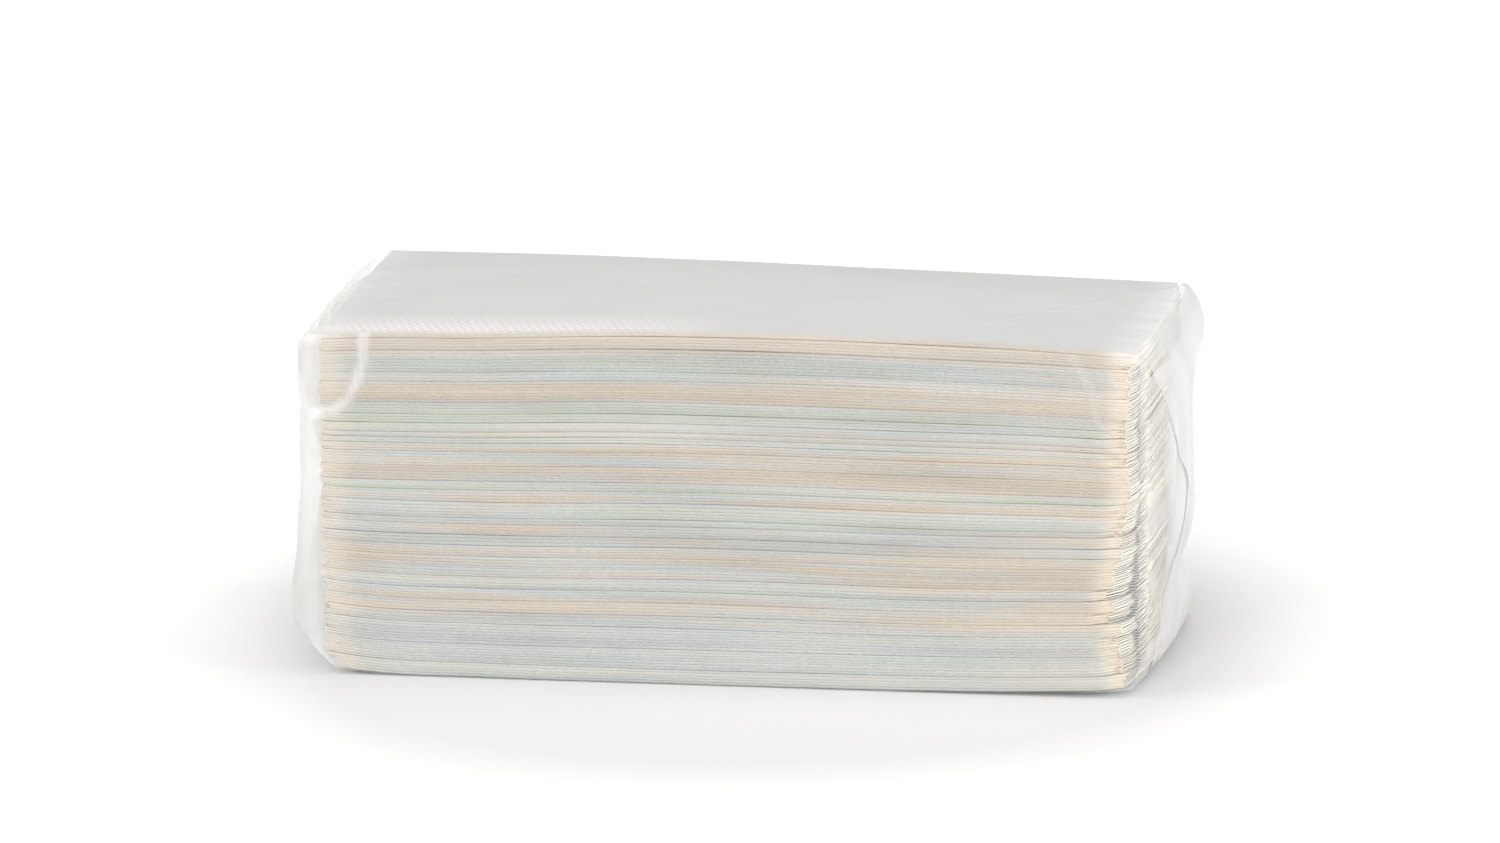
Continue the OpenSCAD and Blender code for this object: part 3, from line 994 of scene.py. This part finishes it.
@dataclass
class FilmWrap:
    """The clear film: a tube round the stack, folded in at each end like an envelope.

    Attributes:
        shape: Form of the pack.
        half_depth, half_height: From the middle of the pack to the film, in mm.
        panel_x: From the middle of the pack to its end panels.
        stack_x: From the middle of the pack to the ends of the towels.
        edge_r: Radius between the tube and an end panel.
        long_edge_r: Radius along the four long edges.
        flap_overlap: How far the top flap comes down over the bottom flap.
        layer_step: Distance between the layers of a folded end.
        fold_start: Distance folded inwards over which the corner's arc tightens into a fold.
        slit: Gap left between the two cut edges in the middle of an end panel.
        ride_rise: Height over which the top flap climbs on to the bottom flap.
        side_points, corner_points, top_points: Points of a quarter ring on its side, corner and top.
        edge_rings, panel_rings, body_rings: Rings of the turn, of an end panel and of the tube.
        crowding: Power that draws the tube's rings together towards its ends.
        clearance: Least distance from the towels' ends to the film.
        crease_share: How much of the creases the loose end panel takes.
        floor_gap: Height of the film over the floor.
    """

    shape: PackShape
    half_depth: float
    half_height: float
    panel_x: float = 121.9
    stack_x: float = 116.2
    edge_r: float = 5.5
    long_edge_r: float = 1.6
    flap_overlap: float = 5.0
    layer_step: float = 0.16
    fold_start: float = 1.8
    slit: float = 2.0
    side_points: int = 56
    corner_points: int = 18
    top_points: int = 24
    edge_rings: int = 9
    panel_rings: int = 30
    body_rings: int = 110
    ride_rise: float = 6.0
    crowding: float = 1.5
    clearance: float = 0.25
    crease_share: float = 0.7
    floor_gap: float = 0.03

    def ring_sizes(self) -> tuple[np.ndarray, np.ndarray, np.ndarray, np.ndarray]:
        """Rings from the tube's end to the cut edge of the film.

        Returns:
            Four arrays with one value a ring: place along X, distance folded inwards, radius of the
            corners, and overhang of the corners. A radius of 0 marks a ring whose corners are folded.
        """
        a = np.radians(np.linspace(0, 90, self.edge_rings))
        rim = min(self.half_height + self.flap_overlap / 2, self.half_depth - self.slit / 2)
        begin = self.edge_r + self.fold_start
        inward = np.linspace(begin, rim, self.panel_rings + 1)[1:]
        turn_x, turn_in = self.panel_x - self.edge_r + self.edge_r * np.sin(a), self.edge_r * (1 - np.cos(a))
        x = np.concatenate([turn_x, np.full(2 + inward.size, self.panel_x)])
        inner = np.concatenate([turn_in, [self.edge_r + self.fold_start / 2, begin], inward])
        tight = [self.layer_step / 2, self.layer_step / 8]
        radius = np.concatenate([np.full(a.size, self.long_edge_r), tight, np.zeros(inward.size)])
        lean = np.zeros(radius.size)
        lean[a.size + 1] = 0.4 * self.layer_step
        return x, inner, radius, lean

    def quarters(self, inner: np.ndarray, radius: np.ndarray, lean: np.ndarray,
                 turned: np.ndarray) -> np.ndarray:
        """Quarter of every ring, from the middle of its side to the middle of its top.

        On the tube the corner is a quarter circle. On the end panel it is the layer that is folded back
        under the flap, with one fold near the top and one along the flap's slanting edge.

        Args:
            inner, radius, lean: Sizes of the rings.
            turned: Share of the turn into the end panel, for each ring.

        Returns:
            Rings by points, each a step outwards in layers, a depth and a height from the middle.
        """
        b, h = (self.half_depth - inner)[:, None], (self.half_height - inner)[:, None]
        r, lean, w = radius[:, None], lean[:, None], turned[:, None]
        folded = r == 0
        half = self.layer_step / 2
        top = self.half_height - self.edge_r - 2 * self.layer_step
        zero = np.zeros((inner.size, 1))

        k = (np.arange(self.side_points)[None] + 0.5) / self.side_points
        side = np.stack([zero + 0 * k, -b + 0 * k, np.where(folded, top - self.layer_step, h - r) * k], -1)

        f = (np.arange(self.corner_points)[None] + 1) / (self.corner_points + 1)
        arc = np.stack([2 * w * f, -b + r * (1 - np.cos(0.5 * math.pi * f)),
                        h - r * (1 - np.sin(0.5 * math.pi * f)) + lean * np.sin(2 * math.pi * f)], -1)
        down = np.arange(1, self.corner_points - 5)[None] / (self.corner_points - 5)
        steps = np.concatenate([[0, 0.5, 1], np.ones(down.size), [1, 1.5, 2]])[None] + zero
        depths = np.concatenate([-b + 0 * zero] * (4 + down.size) + [-b - half / math.sqrt(2), -b + half], 1)
        heights = np.concatenate([zero + top - half, zero + top, zero + top - half,
                                  top - half + (h + 2 * half - top) * down,
                                  h + half, h - half / math.sqrt(2), h], 1)
        corner = np.where(folded[:, :, None], np.stack([steps, depths, heights], -1), arc)

        k = (np.arange(self.top_points)[None] + 0.5) / self.top_points
        top_y = np.where(folded, self.layer_step, r)
        flap = np.stack([2 * w + 0 * k, -b + top_y + (b - top_y) * k, h + 0 * k], -1)
        return np.concatenate([side, corner, flap], 1)

    def rings(self) -> tuple[np.ndarray, np.ndarray, np.ndarray, np.ndarray]:
        """All rings from the left cut edge to the right one, up the front, over the top and round.

        Returns:
            Points of rings by points around, in mm; the share of the turn into the end panel, the step
            outwards in layers, and the part of that step that the corner folds make, each for each point.
        """
        x, inner, radius, lean = self.ring_sizes()
        turned = np.clip((x - self.panel_x + self.edge_r) / self.edge_r, 0, 1) ** 2
        q = self.quarters(inner, radius, lean, turned)
        ride = ease((self.flap_overlap + self.ride_rise - q[..., 2]) / self.ride_rise)
        upper = q.copy()
        upper[..., 0] += np.where(q[..., 0] > 0, 2 * turned[:, None] * ride, 0)
        mirror_y, mirror_z = np.array([1, -1, 1]), np.array([1, 1, -1])
        lower = q * mirror_z
        ring = np.concatenate([upper, upper[:, ::-1] * mirror_y, lower * mirror_y, lower[:, ::-1]], 1)
        along = np.repeat(x[:, None], ring.shape[1], 1)
        right = np.stack([along, ring[..., 1], ring[..., 2]], -1)
        left = right * np.array([-1, 1, 1])
        start = self.panel_x - self.edge_r
        share = np.linspace(-1, 1, self.body_rings + 2)[1:-1]
        middle_x = start * np.sign(share) * (1 - (1 - np.abs(share)) ** self.crowding)
        middle = np.repeat(right[:1], self.body_rings, 0)
        middle[..., 0] = middle_x[:, None]
        points = np.concatenate([left[::-1], middle, right])
        turns = np.concatenate([turned[::-1], np.zeros(self.body_rings), turned])
        around = np.concatenate([q[..., 0], q[:, ::-1, 0]] * 2, 1)
        steps, folds = (np.concatenate([part[::-1], np.zeros(middle.shape[:2]), part])
                        for part in (ring[..., 0], around))
        return points, np.repeat(turns[:, None], points.shape[1], 1), steps, folds

    def let_out(self, y: np.ndarray, z: np.ndarray, end: np.ndarray) -> np.ndarray:
        """How far the loose end panel stands off the towels' ends, in mm.

        The middle of the panel bulges by one less the cube of the share of the depth. Towards each upright
        edge the amount goes over to that edge's own curve of the height. The panel is tight at its head and
        foot.

        Args:
            y: Depth from the middle of the pack, in mm.
            z: Height over the floor, in mm.
            end: -1 at the left end and 1 at the right end.

        Returns:
            The amount in mm.
        """
        v = np.clip(y / self.half_depth, -1, 1)
        top = 2 * self.half_height
        right_bulge = soft_curve(z, [0, 10, 22, 35, 70, 86, top], [0.8, 3.0, 3.4, 5.2, 5.4, 5.4, 2.6])
        tight_from = 0.15 - 0.45 * np.exp(-(((z - HOLLOW_Z) / 8) ** 2))
        right_bulge = right_bulge * (1 - 0.6 * ease((v - tight_from) / 0.75))
        left_bulge = 6.8 * ease(z / 14) * (0.7 + 0.3 * ease((top - z) / 14))
        bulge = np.where(end > 0, right_bulge, left_bulge)
        left_front = soft_curve(z, [0, 4, 7, 10, 17, 33, 44, 55, 78, top],
                                [0.8, 1.6, 3.6, 6.4, 7.9, 6.4, 5.2, 3.9, 4.1, 4.3])
        right_back = soft_curve(z, [0, 7, 15, 24, 41, 48, 56, 72, 79, 88, top],
                                [0.3, 0.4, 0.3, 0.3, 0.9, 0.2, 0.9, 1.0, 4.4, 6.4, 2.6])
        front = np.where(end > 0, 0.9, left_front)
        back = np.where(end > 0, right_back, 2.0)
        edge = np.abs(v) ** 3
        return bulge * (1 - edge) + np.where(v < 0, front, back) * edge

    def creases(self, y: np.ndarray, z: np.ndarray, end: np.ndarray) -> np.ndarray:
        """Height of the creases of a loose end panel, the same for all its layers, in mm.

        They are upright folds, each a sharpened sine wave of the depth whose phase wanders with the height,
        on broad waves of the height.
        """
        v = np.clip(y / self.half_depth, -1, 1)
        phase = 1.1 * np.sin(0.055 * z + 1.3 * end) + 0.7 * np.sin(0.13 * z + 2.1 * end)
        folds = 0.7 * np.abs(np.sin(0.115 * y + phase)) ** 0.6 + 0.3 * np.sin(0.31 * y + 2.3 * phase)
        waves = 0.5 * np.sin(0.15 * z + 0.9 * end) + 0.3 * np.sin(0.29 * z + 0.05 * y + 2 * end)
        return (folds - 0.35) * (1 - 0.6 * np.abs(v)) + 0.7 * waves

    def build(self, film: bpy.types.Material, node: str) -> bpy.types.Object:
        """Makes the film.

        The end panels of the plain folded tube are let out over the towels' ends and creased. The tube takes
        small gathers that fade from the ends, and the creases. Last come the inset and the lift of the
        pack's form, as for the towels.

        Args:
            film: Its material.
            node: The node of the solid model that it stands for.

        Returns:
            The piece.
        """
        flat, turned, steps, folds = self.rings()
        x, y, z = flat[..., 0], flat[..., 1], flat[..., 2] + self.half_height
        end = np.sign(x)
        slack = np.clip((np.abs(x) - self.stack_x) / (self.panel_x - self.stack_x), 0, 1)
        loose = self.let_out(y, z, end) + self.crease_share * self.creases(y, z, end)
        amount = np.maximum(loose, self.clearance)
        reach = np.minimum(np.abs(x), self.stack_x) + slack * amount + self.layer_step * steps

        around = np.unwrap(np.arctan2((z - self.half_height) / self.half_height, y / self.half_depth), axis=1)
        near_end = ease((np.abs(x) - 70) / 50)
        gathers, slow = (sum(wave.rise(x, around) for wave in waves) for waves in (GATHERS, SLOW_WAVES))
        out = (near_end * gathers + slow) * (1 - turned)
        on_front, on_back, on_top = ((1 - turned) * ease((part + 3) / 1.5) for part in (
            -y - self.half_depth, y - self.half_depth, z - 2 * self.half_height))
        rise = {face: sum(c.height * c.near(x, y, z) for c in CREASES if c.face is face)
                for face in (Face.FRONT, Face.TOP)}
        y_new = y - on_front * (out + rise[Face.FRONT]) + on_back * out
        z_new = z + on_top * (0.4 * out + rise[Face.TOP])
        x_new = self.shape.pull(end * reach, y_new, z_new)
        z_new = np.maximum(z_new + self.shape.lift(x_new, y_new, z_new), self.floor_gap)

        haze, doubled_and_shaded = self.milkiness(flat, turned, on_front, on_top)
        tucked = (turned > 0.95) & (np.abs(folds - 1) < 0.75)
        layers = {"haze": haze - 1.5 * tucked, "doubled_and_shaded": doubled_and_shaded}
        points = np.stack([x_new, y_new, z_new], -1) * MM
        quads = tube_quads(*points.shape[:2])[:, ::-1]
        piece = make_mesh("clear_film_wrap", points.reshape(-1, 3), quads, layers, 75.0)
        piece.data.materials.append(film)
        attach(piece, ROOT)
        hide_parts(node)
        LOG.info("%s: %d faces", piece.name, len(piece.data.polygons))
        return piece

    def milkiness(self, flat: np.ndarray, turned: np.ndarray, on_front: np.ndarray,
                  on_top: np.ndarray) -> tuple[np.ndarray, np.ndarray]:
        """How milky the film is, which grows towards its ends, on the wide creases and over the right end.

        Args:
            flat: Points of the plain folded tube, in mm from its middle.
            turned: Share of the turn into the end panel.
            on_front, on_top: One on that side of the tube and zero elsewhere.

        Returns:
            The haze, from 0 for clear film, and the share of the darker painted-shade colour over the right
            end.
        """
        x, y, z = flat[..., 0], flat[..., 1], flat[..., 2] + self.half_height
        end, v = np.sign(x), y / self.half_depth
        at_end = ease((np.abs(x) - 102) / 14)
        left_edge = on_front * (end < 0) * ease((np.abs(x) - 111.5) / 6)
        tube = 0.1 + on_top * np.where(end < 0, 0.12, 0.26) * at_end + on_front * 0.06 * at_end
        # Haze of the wide creases; along the front-left hook it is a painted reflection.
        wide = sum(c.haze * c.near(x, y, z) for c in CREASES if c.rise == 0)
        tube = tube + 0.42 * left_edge + on_front * wide
        panel = np.where(end > 0, 0.2 + 0.6 * ease((v + 0.7) / 0.3), 0.45)
        haze = tube * (1 - turned) + panel * turned + 0.1 * turned * np.clip(self.creases(y, z, end), -1, 1)
        # Over the right end the layered film is milkier, and its colour is painted darker as painted shade.
        doubled_and_shaded = (end > 0) * ease((np.abs(x) - 114.5) / 3) * ease((v + 0.75) / 0.3)
        return np.clip(np.maximum(haze, 0.7 * doubled_and_shaded), 0.02, 1), doubled_and_shaded


# Stage, lamps and camera.


@dataclass(frozen=True)
class Softbox:
    """A large soft lamp.

    Attributes:
        name: Of the lamp.
        place: Where it hangs, in metres.
        size: Its width and height, in metres.
        power: In watts.
    """

    name: str
    place: tuple[float, float, float]
    size: tuple[float, float]
    power: float

    def build(self, aim: Vector) -> bpy.types.Object:
        """Hangs the lamp so that it faces the pack."""
        lamp = bpy.data.lights.new(self.name, "AREA")
        lamp.shape = "RECTANGLE"
        lamp.size, lamp.size_y = self.size
        lamp.energy = self.power
        holder = bpy.data.objects.new(self.name, lamp)
        holder.location = self.place
        holder.rotation_euler = (aim - Vector(self.place)).to_track_quat("-Z", "Y").to_euler()
        bpy.context.scene.collection.objects.link(holder)
        return holder


@dataclass(frozen=True)
class Studio:
    """White floor, pale surroundings and soft lamps.

    Attributes:
        ambient: Strength of the surroundings as light.
        floor_albedo: Colour of the floor.
        lift_near, lift_far: How much the camera sees the floor brightened beside the pack and away from it.
            The small lift beside the pack leaves the floor round it darker, a painted shadow over the lamps'
            own shadows.
        lift_reach: Distances from the pack between which the first goes over to the second, in metres.
        floor_size: From the middle of the floor to its edges, in metres.
        lamps: The softboxes.
    """

    ambient: float = 0.4
    floor_albedo: float = 0.8
    lift_near: float = 0.036
    lift_far: float = 0.5
    lift_reach: tuple[float, float] = (0.13, 0.24)
    floor_size: float = 12.0
    lamps: tuple[Softbox, ...] = (
        Softbox("front_softbox", (0.17, -1.5, 0.75), (1.4, 1.0), 13.8),
        Softbox("right_softbox", (1.5, -0.1, 0.45), (0.8, 0.8), 11.5),
        Softbox("left_softbox", (-1.2, -0.45, 0.85), (0.6, 0.6), 4.6),
        Softbox("top_softbox", (0.0, -0.1, 1.3), (0.7, 0.7), 3.4),
        Softbox("back_softbox", (-0.3, 1.4, 1.0), (1.0, 0.6), 5.0),
    )

    def seen(self, b: NodeBench) -> bpy.types.NodeSocket:
        """One where the camera, gloss or glass looks, and zero for light on the pack."""
        path = b.add("ShaderNodeLightPath").outputs
        return b.math("MAXIMUM", b.math("MAXIMUM", path["Is Camera Ray"], path["Is Glossy Ray"]),
                      path["Is Transmission Ray"])

    def build(self, aim: Vector) -> None:
        """Sets the world, the floor and the lamps.

        Args:
            aim: The point that the lamps face.
        """
        world = bpy.data.worlds.new("surroundings")
        bpy.context.scene.world = world
        world.use_nodes = True
        b = NodeBench(world.node_tree)
        b.fill(world.node_tree.nodes["Background"],
               {"Color": (1, 1, 1, 1), "Strength": b.math("MAXIMUM", self.seen(b), self.ambient)})

        corners = np.array([[-1, -1, 0], [1, -1, 0], [1, 1, 0], [-1, 1, 0]]) * self.floor_size
        floor = make_mesh("floor", corners, np.array([[0, 1, 2, 3]]), {})
        material, b, shader = new_material("white_floor")
        away = b.fill(b.add("ShaderNodeVectorMath", operation="LENGTH"), {0: b.place()}).outputs["Value"]
        # Painted shadow: the floor is brightened little within 0.13 m of the pack's middle and fully beyond
        # 0.24 m, so it is darker round the pack.
        lift = b.span(away, *self.lift_reach, self.lift_near, self.lift_far)
        b.fill(shader, {"Base Color": (self.floor_albedo,) * 3 + (1,), "Roughness": 1.0,
                        "Specular IOR Level": 0.0, "Emission Color": (1, 1, 1, 1),
                        "Emission Strength": b.math("MULTIPLY", self.seen(b), lift)})
        floor.data.materials.append(material)
        for lamp in self.lamps:
            lamp.build(aim)


@dataclass(frozen=True)
class PhotoCamera:
    """A camera at the photograph's viewing angle.

    Attributes:
        azimuth, elevation, roll: Its angles in degrees.
        distance: From the middle of the pack, in metres.
        pixels_per_mm: Size of the pack in the picture.
        centre: Pixel at which the middle of the pack appears.
        frame: Width and height of the picture in pixels.
        sensor: Width of the sensor, in mm.
    """

    azimuth: float = 10.33
    elevation: float = 13.73
    roll: float = 0.82
    distance: float = 3.134
    pixels_per_mm: float = 3.565
    centre: tuple[float, float] = (757.1, 478.3)
    frame: tuple[int, int] = (1500, 843)
    sensor: float = 36.0

    def build(self, middle: Vector) -> bpy.types.Object:
        """Places the camera and turns it so that the middle of the pack lands on its pixel.

        Args:
            middle: The middle of the pack, in metres.

        Returns:
            The camera.
        """
        a, e = math.radians(self.azimuth), math.radians(self.elevation)
        back = Vector((math.sin(a) * math.cos(e), -math.cos(a) * math.cos(e), math.sin(e)))
        right = Vector((math.cos(a), math.sin(a), 0))
        up = back.cross(right)
        turn = Matrix.Rotation(math.radians(self.roll), 3, back)
        right, up = turn.inverted() @ right, turn.inverted() @ up
        per_pixel = MM / self.pixels_per_mm
        aim = middle + right * (self.frame[0] / 2 - self.centre[0]) * per_pixel
        aim = aim + up * (self.centre[1] - self.frame[1] / 2) * per_pixel
        place = middle + back * self.distance
        z_axis = (place - aim).normalized()
        x_axis = up.cross(z_axis).normalized()
        y_axis = z_axis.cross(x_axis)
        data = bpy.data.cameras.new("photo_camera")
        data.sensor_width = self.sensor
        data.lens = self.pixels_per_mm / MM * self.distance / self.frame[0] * self.sensor
        data.clip_end = 100
        camera = bpy.data.objects.new("photo_camera", data)
        rotation = Matrix((x_axis, y_axis, z_axis)).transposed().to_4x4()
        camera.matrix_world = Matrix.Translation(place) @ rotation
        bpy.context.scene.collection.objects.link(camera)
        bpy.context.scene.camera = camera
        return camera


def main() -> None:
    """Builds the towels, the film, the stage and the camera, in that order."""
    logging.basicConfig(level=logging.INFO, format="%(name)s %(message)s")
    nodes = sorted(n for n in frame["nodes"] if n.startswith("towel_pair_"))
    low, high = (np.array(corner) / MM for corner in CAD_BOX)
    bottom, top = np.array(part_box(nodes[0])[0]) / MM, np.array(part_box(nodes[-1])[1]) / MM
    height = float(high[2] - low[2])
    shape = PackShape(half_length=SHEET_W / 2, half_depth=FOLD_D / 2, height=height)

    stack = TowelStack(shape, count=2 * len(nodes), length=SHEET_W, floor=float(bottom[2]), top=float(top[2]))
    stack.build(PaperFinish().build(fibre_group(), emboss_group()), nodes)
    wrap = FilmWrap(shape, half_depth=float(high[1]) - FILM_T / 2, half_height=height / 2)
    wrap.build(FilmFinish().build(crease_group()), "film_wrap")

    middle = Vector(PACK_MIDDLE)
    Studio().build(middle)
    PhotoCamera().build(middle)
    bpy.context.scene.view_settings.view_transform = "Standard"


if __name__ == "__main__":
    main()
